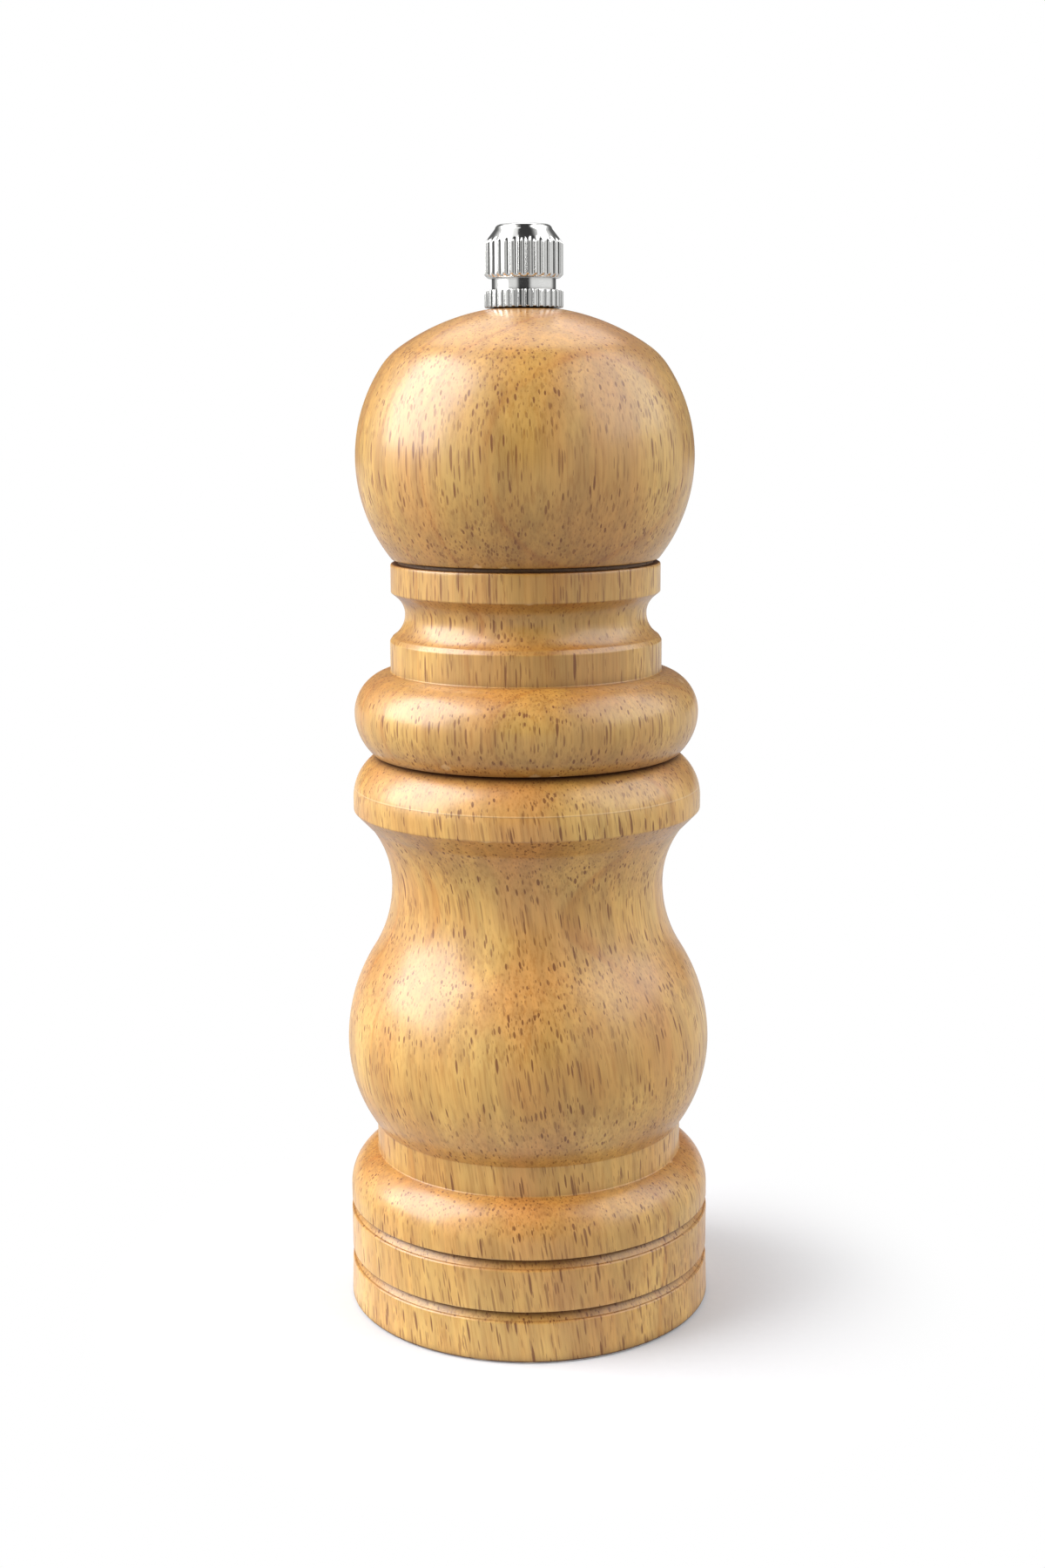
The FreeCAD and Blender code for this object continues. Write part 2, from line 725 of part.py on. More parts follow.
def make_burr_spring():
    body = new_body("burr_spring")
    sketch = new_sketch(body, "wire")
    draw_circle(sketch, "wire_radius", "coil_radius", "spring_foot + wire_radius")
    helix = body.newObject("PartDesign::AdditiveHelix", "burr_spring_coil")
    helix.Profile = sketch
    helix.ReferenceAxis = (sketch, ["V_Axis"])
    helix.Mode = "height-turns-angle"
    bind(helix, "Height", "spring_head - spring_foot - 2 * wire_radius")
    bind(helix, "Turns", "coil_turns")
    doc.recompute()


def make_spring_washer():
    body = new_body("spring_washer")
    sketch = new_sketch(body, "outline", "XY_Plane")
    draw_circle(sketch, "spring_washer_radius")
    draw_square(sketch, "shaft_side + 2 * square_clearance")
    padded(body, sketch, "spring_washer_thickness")
    bind(body, "Placement.Base.z", "spring_washer_bottom")


def make_bridge():
    """The steel bar that spans the base and guides the shaft's lower pin."""
    body = new_body("bridge")
    straight = "(bridge_half_length - bridge_half_width)"
    sketch = new_sketch(body, "outline", "XY_Plane")
    draw_outline(sketch, [
        (straight, "-bridge_half_width"),
        (straight, "bridge_half_width", "bridge_end_radius", 1),
        (f"-{straight}", "bridge_half_width"),
        (f"-{straight}", "-bridge_half_width", "bridge_end_radius", 1),
    ])
    draw_circle(sketch, "bush_radius + fine_clearance")
    draw_circle(sketch, "screw_hole_radius", "screw_offset")
    draw_circle(sketch, "screw_hole_radius", "-screw_offset")
    padded(body, sketch, "bridge_thickness")
    bind(body, "Placement.Base.z", "bridge_bottom")


def make_bridge_bush():
    body = new_body("bridge_bush")
    bore = "pin_radius + running_clearance"
    bar_top = "bridge_bottom + bridge_thickness"
    turned(body, "turning", [
        (bore, "bridge_bottom"),
        ("bush_radius", "bridge_bottom"),
        ("bush_radius", bar_top),
        ("bush_flange_radius", bar_top),
        ("bush_flange_radius", f"{bar_top} + bush_flange_thickness"),
        (bore, f"{bar_top} + bush_flange_thickness"),
    ])


make_barrel()
make_head()
make_knob()
make_drive_shaft()
make_driver_plate()
make_screws("driver_plate_screws", "plate_screw_offset", False, "seam_height - spigot_length")
make_housing()
make_screws("housing_screws", "screw_offset", True, "flange_bottom")
make_burr_ring()
make_burr_cone()
make_rotor_hub()
make_burr_spring()
make_spring_washer()
washer("thrust_washer", "boss_bore", "thrust_washer_radius", "thrust_washer_bottom",
       "thrust_washer_thickness")
washer("shaft_washer", "pin_radius + running_clearance", "shaft_washer_radius", "shaft_washer_bottom",
       "shaft_washer_thickness")
open_ring("shaft_clip", "clip_groove_radius + fine_clearance", "clip_radius", "clip_bottom", "clip_thickness",
          "clip_gap")
open_ring("burr_ring_retainer", "circlip_inner", "circlip_outer", "circlip_bottom",
          "circlip_thickness", "circlip_gap")
make_bridge()
make_bridge_bush()
make_screws("bridge_screws", "screw_offset", False, "bridge_bottom")
doc.recompute()

SUB_PARTS = [
    "barrel", "head", "adjusting_knob", "drive_shaft", "driver_plate", "driver_plate_screws",
    "mechanism_housing", "housing_screws", "burr_ring", "burr_ring_retainer", "burr_cone",
    "rotor_hub", "burr_spring", "spring_washer", "thrust_washer", "shaft_washer", "shaft_clip",
    "bridge", "bridge_bush", "bridge_screws",
]

for item in doc.Objects:
    if "Invalid" in item.State or "Error" in item.State:
        raise RuntimeError(f"{item.Name} is in state {item.State}")
for name in SUB_PARTS:
    shape = doc.getObject(name).Shape
    if shape.isNull() or not shape.isValid() or not shape.Solids:
        raise RuntimeError(f"{name} has no valid solid")

os.makedirs("parts", exist_ok=True)
for name in SUB_PARTS:
    shape = doc.getObject(name).Shape
    shape.exportStep(f"parts/{name}.step")
    box = shape.BoundBox
    print(f"{name}: {len(shape.Solids)} solid(s), {shape.Volume:.1f} mm3, "
          f"r {box.XMax:.2f}, z {box.ZMin:.2f} to {box.ZMax:.2f}")
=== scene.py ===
import math

import bmesh
import bpy
from mathutils import Matrix, Vector


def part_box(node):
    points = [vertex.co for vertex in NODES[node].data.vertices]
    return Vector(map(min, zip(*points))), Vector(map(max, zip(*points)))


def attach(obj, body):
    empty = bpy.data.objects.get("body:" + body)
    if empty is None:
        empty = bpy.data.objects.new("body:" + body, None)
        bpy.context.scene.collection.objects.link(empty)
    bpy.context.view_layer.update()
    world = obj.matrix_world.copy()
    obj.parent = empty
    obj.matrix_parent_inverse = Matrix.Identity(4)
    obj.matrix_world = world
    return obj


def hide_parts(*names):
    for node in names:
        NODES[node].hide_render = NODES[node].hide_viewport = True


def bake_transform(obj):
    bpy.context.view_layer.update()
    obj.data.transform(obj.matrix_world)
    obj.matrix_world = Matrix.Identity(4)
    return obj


# A turned rubberwood pepper mill with a fluted chrome knob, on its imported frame.
# The mill's lengths are millimetres until they reach a mesh, and the studio's are metres. +Z is up, and the
# mill's axis is the Z axis.

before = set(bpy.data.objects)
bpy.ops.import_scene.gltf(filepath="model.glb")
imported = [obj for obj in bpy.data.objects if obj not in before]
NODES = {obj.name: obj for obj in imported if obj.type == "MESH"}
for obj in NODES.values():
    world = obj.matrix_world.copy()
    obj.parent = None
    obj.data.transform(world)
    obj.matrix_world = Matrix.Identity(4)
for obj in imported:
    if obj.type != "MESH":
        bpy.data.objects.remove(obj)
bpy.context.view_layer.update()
MM = 0.001


def top_of(node):
    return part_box(node)[1].z / MM


def bottom_of(node):
    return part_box(node)[0].z / MM


def half_width_of(node):
    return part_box(node)[1].x / MM


# ---------------------------------------------------------------- outlines and meshes

ARC_STEP = 0.35     # spacing of the points along an outline
SHARP_TURN = math.radians(18)
EASE_LIMIT = 0.45   # most of a side that an eased corner may take
EASE_STEPS = 5
WELD_DISTANCE = 1e-8


def sweep(wide, end):
    """Radius of the arc that runs along the axis at wide and passes through end."""
    step, rise = abs(wide[0] - end[0]), abs(end[1] - wide[1])
    return (rise ** 2 + step ** 2) / (2 * step)


def run(start, end, radius=None, side=1):
    """Points from start to end, start left out: a straight run, or an arc with its centre on the left for
    side 1."""
    start, end = Vector(start), Vector(end)
    chord = end - start
    if radius is None:
        count = max(1, math.ceil(chord.length / ARC_STEP))
        return [start + chord * (i / count) for i in range(1, count + 1)]
    left = Vector((-chord.y, chord.x)).normalized() * side
    centre = (start + end) / 2 + left * math.sqrt(max(0.0, radius ** 2 - (chord.length / 2) ** 2))
    first, last = start - centre, end - centre
    angle = first.angle_signed(last) * -1
    count = max(3, math.ceil(abs(angle) * radius / ARC_STEP))
    return [centre + Matrix.Rotation(angle * i / count, 2) @ first for i in range(1, count + 1)]


def outline(corners, ease):
    """Closed outline through corners (across, up) or (across, up, radius, side). Sharp turns are eased over a
    length."""
    points = []
    for i, corner in enumerate(corners):
        points += run(corners[i - 1][:2], corner[:2], *corner[2:])
    count = len(points)
    eased = []
    for i, point in enumerate(points):
        before, after = points[i - 1], points[(i + 1) % count]
        turn = abs((point - before).angle_signed(after - point, 0.0))
        if turn < SHARP_TURN:
            eased.append(point)
            continue
        start = point + (before - point) * min(EASE_LIMIT, ease / (before - point).length)
        end = point + (after - point) * min(EASE_LIMIT, ease / (after - point).length)
        for step in range(EASE_STEPS + 1):
            share = step / EASE_STEPS
            eased.append(start.lerp(point, share).lerp(point.lerp(end, share), share))
    return eased


def mesh_object(name, vertices, faces):
    mesh = bpy.data.meshes.new(name)
    mesh.from_pydata([Vector(v) * MM for v in vertices], [], faces)
    bm = bmesh.new()
    bm.from_mesh(mesh)
    bmesh.ops.remove_doubles(bm, verts=bm.verts, dist=WELD_DISTANCE)
    bmesh.ops.recalc_face_normals(bm, faces=bm.faces)
    bm.to_mesh(mesh)
    bm.free()
    mesh.shade_smooth()
    made = bpy.data.objects.new(name, mesh)
    bpy.context.scene.collection.objects.link(made)
    return made


def turned(name, points, columns, cut=None):
    """A closed outline swung round the axis. cut(across, up, angle) may give another radius, as flutes do."""
    rows = len(points)
    vertices, faces = [], []
    for j in range(columns):
        angle = 2 * math.pi * j / columns
        for across, up in points:
            radius = cut(across, up, angle) if cut else across
            vertices.append((radius * math.sin(angle), -radius * math.cos(angle), up))
    for j in range(columns):
        k = (j + 1) % columns
        for i in range(rows):
            n = (i + 1) % rows
            faces.append((j * rows + i, k * rows + i, k * rows + n, j * rows + n))
    return mesh_object(name, vertices, faces)


# ---------------------------------------------------------------- the turned wood

FOOT_RADIUS = half_width_of("barrel")
SEAM = top_of("barrel")
SEAT = top_of("head")
SPIGOT_END = bottom_of("head")
BAND_RADIUS = 26.28
GROOVES = (7.5, 15.1)
GROOVE_MOUTH, GROOVE_DEPTH, GROOVE_LIP = 1.7, 1.15, 0.3
GROOVE_LIP_ROUND = GROOVE_LIP * 1.4
GROOVE_TOP_FALL = 0.15
GROOVE_FOOT_SPREAD, GROOVE_TOP_SPREAD = 0.05, 0.02
SHOULDER = (BAND_RADIUS, 16.9)
RING_FOOT, RING_TOP = (22.26, 22.6), (22.26, 26.9)
BELLY, WAIST = (26.27, 39.06), (19.55, 62.2)
INFLECTION = 0.57
FLARE = (22.3, 70.7)
LIP_RADIUS, LIP_FOOT, LIP_TOP = 24.82, 73.3, 75.0
SEAM_EDGE = (20.9, SEAM)
BORE, RECESS, RECESS_HEIGHT = 14.2, 19.5, 6.0
BORE_CHAMFER = 0.5
FOOT_CHAMFER = 0.35
WOOD_EASE = 0.16
WOOD_COLUMNS = 256


def groove(height):
    inner = BAND_RADIUS - GROOVE_DEPTH
    return [
        (BAND_RADIUS + GROOVE_FOOT_SPREAD, height - GROOVE_MOUTH),
        (BAND_RADIUS - GROOVE_LIP, height - GROOVE_MOUTH + GROOVE_LIP, GROOVE_LIP_ROUND, 1),
        (inner, height - GROOVE_TOP_FALL),
        (BAND_RADIUS + GROOVE_TOP_SPREAD, height),
    ]


def barrel_outline():
    turn = (BELLY[0] + (WAIST[0] - BELLY[0]) * INFLECTION, BELLY[1] + (WAIST[1] - BELLY[1]) * INFLECTION)
    return outline([
        (FOOT_RADIUS - FOOT_CHAMFER, 0),
        (FOOT_RADIUS, FOOT_CHAMFER),
        *groove(GROOVES[0]),
        *groove(GROOVES[1]),
        SHOULDER,
        (*RING_FOOT, sweep(SHOULDER, RING_FOOT), 1),
        RING_TOP,
        (*BELLY, sweep(BELLY, RING_TOP), 1),
        (*turn, sweep(BELLY, turn), 1),
        (*WAIST, sweep(WAIST, turn), -1),
        (*FLARE, sweep(WAIST, FLARE), -1),
        (LIP_RADIUS, LIP_FOOT),
        (LIP_RADIUS, LIP_TOP),
        (*SEAM_EDGE, sweep((LIP_RADIUS, LIP_TOP), SEAM_EDGE), 1),
        (BORE + BORE_CHAMFER, SEAM),
        (BORE, SEAM - BORE_CHAMFER),
        (BORE, RECESS_HEIGHT),
        (RECESS, RECESS_HEIGHT),
        (RECESS, FOOT_CHAMFER),
        (RECESS + FOOT_CHAMFER, 0),
    ], WOOD_EASE)


SEAM_GAP = 0.1
HEAD_FOOT = SEAM + SEAM_GAP
BEAD_FOOT, BEAD = (21.85, HEAD_FOOT), (24.41, 87.18)
NECK_RADIUS, NECK_FOOT, NECK_TOP, NECK_ROUND = 19.2, 93.0, 97.3, 0.4
SCOTIA_FOOT, SCOTIA, SCOTIA_TOP = (NECK_RADIUS - NECK_ROUND, 97.9), (17.03, 101.05), (18.3, 103.6)
COLLAR_RADIUS, COLLAR_FOOT, COLLAR_TOP, COLLAR_ROUND = 18.98, 104.15, 108.2, 0.3
QUIRK_RADIUS, QUIRK_TOP = 17.9, 108.65
BALL_FOOT_HEIGHT = 0.1
BALL_FOOT, BALL = (18.75, QUIRK_TOP + BALL_FOOT_HEIGHT), (23.59, 122.63)
BALL_ROUND, BALL_ANGLE = 22.5, math.radians(33.7)
CROWN_ROUND, CROWN_ANGLE = 10.0, math.radians(55)
SPIGOT_RADIUS, SPIGOT_CHAMFER = 13.9, 0.6
SHAFT_BORE = 4.1
PLATE_CLEARANCE = 0.1
PLATE_RECESS = half_width_of("driver_plate") + PLATE_CLEARANCE
PLATE_TOP = top_of("driver_plate")


def head_outline():
    shoulder = (BALL[0] - BALL_ROUND * (1 - math.cos(BALL_ANGLE)),
                BALL[1] + BALL_ROUND * math.sin(BALL_ANGLE))
    crown = (shoulder[0] - CROWN_ROUND * (math.cos(BALL_ANGLE) - math.cos(CROWN_ANGLE)),
             shoulder[1] + CROWN_ROUND * (math.sin(CROWN_ANGLE) - math.sin(BALL_ANGLE)))
    cap_radius = crown[0] / math.cos(CROWN_ANGLE)
    cap_centre = crown[1] - crown[0] * math.tan(CROWN_ANGLE)
    seat_edge = (math.sqrt(cap_radius ** 2 - (SEAT - cap_centre) ** 2), SEAT)
    return outline([
        (PLATE_RECESS, SPIGOT_END),
        (SPIGOT_RADIUS - SPIGOT_CHAMFER, SPIGOT_END),
        (SPIGOT_RADIUS, SPIGOT_END + SPIGOT_CHAMFER),
        (SPIGOT_RADIUS, HEAD_FOOT),
        BEAD_FOOT,
        (*BEAD, sweep(BEAD, BEAD_FOOT), 1),
        (NECK_RADIUS, NECK_FOOT, sweep(BEAD, (NECK_RADIUS, NECK_FOOT)), 1),
        (NECK_RADIUS, NECK_TOP),
        SCOTIA_FOOT,
        (*SCOTIA, sweep(SCOTIA, SCOTIA_FOOT), -1),
        (*SCOTIA_TOP, sweep(SCOTIA, SCOTIA_TOP), -1),
        (COLLAR_RADIUS, COLLAR_FOOT),
        (COLLAR_RADIUS, COLLAR_TOP - COLLAR_ROUND),
        (COLLAR_RADIUS - COLLAR_ROUND, COLLAR_TOP, COLLAR_ROUND, 1),
        (QUIRK_RADIUS, COLLAR_TOP),
        (QUIRK_RADIUS, QUIRK_TOP),
        BALL_FOOT,
        (*BALL, sweep(BALL, BALL_FOOT), 1),
        (*shoulder, BALL_ROUND, 1),
        (*crown, CROWN_ROUND, 1),
        (*seat_edge, cap_radius, 1),
        (SHAFT_BORE, SEAT),
        (SHAFT_BORE, PLATE_TOP),
        (PLATE_RECESS, PLATE_TOP),
    ], WOOD_EASE)


# ---------------------------------------------------------------- the knob, shaft and spring

KNOB_RADIUS = 5.42
KNOB_FOOT = bottom_of("adjusting_knob")
KNOB_TOP = top_of("adjusting_knob")
FLANGE_TOP = KNOB_FOOT + 2.3
KNOB_NECK_RADIUS = 4.4
GRIP_FOOT, GRIP_TOP = KNOB_FOOT + 3.95, KNOB_FOOT + 8.55
GRIP_CHAMFER = 0.45
CONE_RADIUS = 3.95
KNOB_EDGE = 0.6
KNOB_EDGE_ROUND = KNOB_EDGE * 1.2
KNOB_EASE = 0.08
FLANGE_CHAMFER, FLANGE_ROUND = 0.1, 0.15
DISH_RADIUS, DISH_DEPTH = 2.6, 0.25
THREAD_BORE, THREAD_BORE_TOP = 2.5, KNOB_FOOT + 8.9
GRIP_FLUTES, GRIP_FLUTE = 30, 0.42
FLANGE_FLUTES, FLANGE_FLUTE = 34, 0.3
FLUTE_CENTRE = KNOB_RADIUS + 0.05
FLUTE_SLOPE = 2         # how fast the cut runs out beside a flute
PLATING_ROUND = 0.07    # how far the plating rounds the flutes' edges
KNOB_COLUMNS = GRIP_FLUTES * FLANGE_FLUTES      # both rows of flutes fall on whole columns
NEAR = 0.01             # heights and radii closer than this count as the same


def fluted(across, up, angle):
    """The knob's radius where round-bottomed flutes cut into it."""
    in_neck = FLANGE_TOP + NEAR < up < GRIP_FOOT - NEAR
    if in_neck or across < CONE_RADIUS:
        return across
    in_flange = up <= FLANGE_TOP + NEAR
    count, round_radius = (FLANGE_FLUTES, FLANGE_FLUTE) if in_flange else (GRIP_FLUTES, GRIP_FLUTE)
    pitch = 2 * math.pi / count
    aside = FLUTE_CENTRE * math.sin((angle + pitch / 2) % pitch - pitch / 2)
    if abs(aside) < round_radius:
        flute = FLUTE_CENTRE - math.sqrt(round_radius ** 2 - aside ** 2)
    else:
        flute = FLUTE_CENTRE + FLUTE_SLOPE * (abs(aside) - round_radius)
    return (across + flute - math.hypot(across - flute, PLATING_ROUND)) / 2


def knob_outline():
    cone_top = KNOB_TOP - KNOB_EDGE
    return outline([
        (THREAD_BORE, KNOB_FOOT),
        (KNOB_RADIUS - FLANGE_CHAMFER, KNOB_FOOT),
        (KNOB_RADIUS, KNOB_FOOT + FLANGE_CHAMFER),
        (KNOB_RADIUS, FLANGE_TOP - FLANGE_ROUND),
        (KNOB_RADIUS - FLANGE_ROUND, FLANGE_TOP, FLANGE_ROUND, 1),
        (KNOB_NECK_RADIUS, FLANGE_TOP),
        (KNOB_NECK_RADIUS, GRIP_FOOT),
        (KNOB_RADIUS - GRIP_CHAMFER, GRIP_FOOT),
        (KNOB_RADIUS, GRIP_FOOT + GRIP_CHAMFER),
        (KNOB_RADIUS, GRIP_TOP),
        (CONE_RADIUS, cone_top),
        (CONE_RADIUS - KNOB_EDGE, KNOB_TOP, KNOB_EDGE_ROUND, 1),
        (DISH_RADIUS, KNOB_TOP),
        (0, KNOB_TOP - DISH_DEPTH),
        (0, THREAD_BORE_TOP),
        (THREAD_BORE, THREAD_BORE_TOP),
    ], KNOB_EASE)


SHAFT_FOOT, SHAFT_TIP = bottom_of("drive_shaft"), top_of("drive_shaft")
SHAFT_HALF = half_width_of("drive_shaft")
SHAFT_CORNER = 0.3
PIN_RADIUS, PIN_TOP, PIN_CHAMFER = 2.2, 7.7, 0.3
CLIP_CLEARANCE = 0.02
CLIP_GROOVE = 1.7
CLIP_FOOT, CLIP_TOP = bottom_of("shaft_clip") - CLIP_CLEARANCE, top_of("shaft_clip") + CLIP_CLEARANCE
SHAFT_SHOULDER = 139.6
THREAD_RADIUS, THREAD_DEPTH, THREAD_PITCH = 2.45, 0.4, 0.8
THREAD_ROWS = 12        # rows in one pitch of the thread
TIP_CHAMFER = 0.3
SHAFT_COLUMNS = 72
SHAFT_SHARP = math.radians(30)


def square_radius(angle):
    """Distance to the outline of the square bar, with its corners bevelled."""
    aside, ahead = abs(math.sin(angle)), abs(math.cos(angle))
    to_corner = (2 * SHAFT_HALF - SHAFT_CORNER) / (aside + ahead)
    return min(SHAFT_HALF / max(aside, ahead), to_corner)


def shaft_radius(across, up, angle):
    """The shaft's radius: round at the pin, square along the bar and ridged by the thread at the tip."""
    if across < NEAR or up < PIN_TOP - NEAR:
        return across
    if up <= SHAFT_SHOULDER + NEAR and across > THREAD_RADIUS:
        return square_radius(angle)
    if up > SHAFT_SHOULDER + NEAR:
        phase = (up / THREAD_PITCH - angle / (2 * math.pi)) % 1
        return across - THREAD_DEPTH * abs(2 * phase - 1) * min(1, (up - SHAFT_SHOULDER) / THREAD_PITCH)
    return across


def shaft_points():
    """The shaft's outline going up. The rows along the thread are close enough to show its ridges."""
    rows = [
        (0, SHAFT_FOOT),
        (PIN_RADIUS - PIN_CHAMFER, SHAFT_FOOT),
        (PIN_RADIUS, SHAFT_FOOT + PIN_CHAMFER),
        (PIN_RADIUS, CLIP_FOOT),
        (CLIP_GROOVE, CLIP_FOOT),
        (CLIP_GROOVE, CLIP_TOP),
        (PIN_RADIUS, CLIP_TOP),
        (PIN_RADIUS, PIN_TOP),
        (SHAFT_HALF, PIN_TOP),
        (SHAFT_HALF, SHAFT_SHOULDER),
    ]
    steps = round((SHAFT_TIP - SHAFT_SHOULDER) / THREAD_PITCH * THREAD_ROWS)
    for i in range(1, steps + 1):
        up = SHAFT_SHOULDER + (SHAFT_TIP - SHAFT_SHOULDER) * i / steps
        rows.append((min(THREAD_RADIUS, THREAD_RADIUS - TIP_CHAMFER + SHAFT_TIP - up), up))
    return rows + [(0, SHAFT_TIP)]


WIRE_RADIUS, COIL_RADIUS, COIL_TURNS = 0.4, 4.3, 3.5
SPRING_FOOT, SPRING_HEAD = bottom_of("burr_spring"), top_of("burr_spring")
SPRING_STEPS, WIRE_SIDES = 220, 14


def spring():
    """A helix of round wire, its ends brought in level with the faces that it presses on."""
    vertices, faces = [], []
    low, high = SPRING_FOOT + WIRE_RADIUS, SPRING_HEAD - WIRE_RADIUS
    for i in range(SPRING_STEPS + 1):
        share = i / SPRING_STEPS
        angle = 2 * math.pi * COIL_TURNS * share
        outward = Vector((math.cos(angle), math.sin(angle), 0))
        centre = outward * COIL_RADIUS + Vector((0, 0, low + (high - low) * share))
        for k in range(WIRE_SIDES):
            turn = 2 * math.pi * k / WIRE_SIDES
            aside = outward * math.cos(turn) + Vector((0, 0, math.sin(turn)))
            vertices.append(centre + WIRE_RADIUS * aside)
    for i in range(SPRING_STEPS):
        here, after = i * WIRE_SIDES, (i + 1) * WIRE_SIDES
        for k in range(WIRE_SIDES):
            n = (k + 1) % WIRE_SIDES
            faces.append((here + k, here + n, after + n, after + k))
    last = SPRING_STEPS * WIRE_SIDES
    faces.append(tuple(range(WIRE_SIDES)))
    faces.append(tuple(range(last, last + WIRE_SIDES)))
    return mesh_object("spring_coil", vertices, faces)


# ---------------------------------------------------------------- materials

def add(tree, kind, inputs=None, **settings):
    """A shader node, with its inputs set to values or linked to sockets."""
    node = tree.nodes.new("ShaderNode" + kind)
    for name, value in settings.items():
        setattr(node, name, value)
    for key, value in (inputs or {}).items():
        if isinstance(value, bpy.types.NodeSocket):
            tree.links.new(value, node.inputs[key])
        else:
            node.inputs[key].default_value = value
    return node


def calc(tree, operation, *values):
    return add(tree, "Math", dict(enumerate(values)), operation=operation).outputs[0]


def ramp(tree, value, low, high, start=0.0, end=1.0):
    """Smooth step of value from start at low to end at high."""
    inputs = {"Value": value, "From Min": low, "From Max": high, "To Min": start, "To Max": end}
    return add(tree, "MapRange", inputs, interpolation_type="SMOOTHSTEP").outputs[0]


def blend_colour(tree, share, first, second, mode="MIX"):
    node = add(tree, "Mix", data_type="RGBA", blend_type=mode)
    for socket, value in zip((node.inputs[0], node.inputs[6], node.inputs[7]), (share, first, second)):
        if isinstance(value, bpy.types.NodeSocket):
            tree.links.new(value, socket)
        else:
            socket.default_value = value
    return node.outputs[2]


def colour(red, green, blue):
    """Scene-linear colour of an 8-bit display colour, by the sRGB curve."""
    shares = [v / 255 for v in (red, green, blue)]
    return (*[v / 12.92 if v < 0.04045 else ((v + 0.055) / 1.055) ** 2.4 for v in shares], 1)


def new_material(name, **sockets):
    material = bpy.data.materials.new(name)
    material.use_nodes = True
    tree = material.node_tree
    shader = tree.nodes["Principled BSDF"]
    for key, value in sockets.items():
        shader.inputs[key.replace("_", " ")].default_value = value
    return material, tree, shader


def millimetres(tree, scale=(1, 1, 1), turn=(0, 0, 0), shift=(0, 0, 0)):
    """Object coordinates in millimetres, turned first and then stretched by scale."""
    place = add(tree, "TexCoord").outputs["Object"]
    if any(turn):
        place = add(tree, "Mapping", {"Vector": place, "Rotation": turn}).outputs[0]
    inputs = {"Vector": place, "Scale": [s / MM for s in scale], "Location": shift}
    return add(tree, "Mapping", inputs).outputs[0]


def noise(tree, place, scale, detail=2.0, roughness=0.5):
    inputs = {"Vector": place, "Scale": scale, "Detail": detail, "Roughness": roughness}
    return add(tree, "TexNoise", inputs)


NOISE_LOW, NOISE_HIGH = 0.3, 0.7    # nearly all of a noise lies between these


def spread(tree, value, start=0.0, end=1.0):
    """A noise's value, spread from start to end."""
    return ramp(tree, value, NOISE_LOW, NOISE_HIGH, start, end)


SHELTER_SAMPLES = 6


def sheltered(tree, reach):
    """1 in the open and less in corners, as far as reach mm."""
    return add(tree, "AmbientOcclusion", {"Distance": reach * MM}, samples=SHELTER_SAMPLES).outputs["AO"]


def bumped(tree, shader, height, strength, depth):
    """Relief of depth mm on the shader."""
    relief = add(tree, "Bump", {"Strength": strength, "Distance": depth * MM, "Height": height})
    tree.links.new(relief.outputs[0], shader.inputs["Normal"])


# the wood: sizes are in mm and noise scales in 1/mm, and "along" in a noise is how closely it changes along
# the grain, next to across it

BARREL_LEAN = (math.radians(2), math.radians(8), 0)
HEAD_LEAN = (0, math.radians(1), 0)
DRIFT = {"along": 0.45, "scale": 0.1, "detail": 4.0, "roughness": 0.6}
FLUSH = {"along": 0.5, "scale": 0.075, "detail": 3.0}
FLUSH_START, FLUSH_FULL, FLUSH_SHARE = 0.45, 0.68, 0.8
FLUSH_ASIDE, LONG_AHEAD, FINE_ASIDE = -60, 17, 31       # moves that keep one pattern from following another
FIBRE = {"along": 0.04, "scale": 2.6, "detail": 3.0, "roughness": 0.65}
FIBRE_TONE, FIBRE_ROUGHNESS, FIBRE_HEIGHT = (-0.06, 0.1), (0.45, 0.56), 0.12
FIBRE_STAIN_START, FIBRE_STAIN_FULL, FIBRE_STAIN = 0.52, 0.34, 0.55
BROAD = {"along": 0.06, "scale": 0.6}
BROAD_TONE = (-0.13, 0.09)

CROWD = {"along": 0.3, "scale": 0.13, "detail": 3.0}
CROWD_START, CROWD_FULL = 0.35, 0.65
DARK_PORES = {"across": 0.5, "along": 6.0, "radius": 0.225}
DARK_SHARE, DARK_CROWDING = 0.4, 0.55
LONG_PORES = {"across": 1.3, "along": 24.0, "radius": 0.2, "share": 0.55}
FINE_PORES = {"across": 0.33, "along": 3.2, "radius": 0.145}
FINE_SHARE, FINE_CROWDING = 0.45, 0.45
PORE_WANDER, PORE_WANDER_ALONG, PORE_WANDER_SCALE = 0.6, 0.25, 0.35
PORE_NARROWEST, PORE_FLAT, PORE_FAINTEST = 0.5, 0.7, 0.35      # shares of the widest, the width, the darkest
STRONG_STAIN, STRONG_ROUGHNESS = 0.95, 0.2
FINE_STAIN, FINE_HEIGHT = 0.65, 0.5
GRAIN_RELIEF, GRAIN_DEPTH = 0.5, 0.04

RING_SPACING = 7.5
RING_START, RING_PEAK = 0.84, 0.96      # parts of the spacing where late wood starts and is darkest
RING_WANDER, RING_WANDER_ALONG, RING_WANDER_SCALE = 9, 0.4, 0.04
RING_PATCHES = 0.06
RING_FAINT_AT, RING_STRONG_AT, RING_FAINTEST = 0.35, 0.6, 0.3
RING_STAIN = 0.75

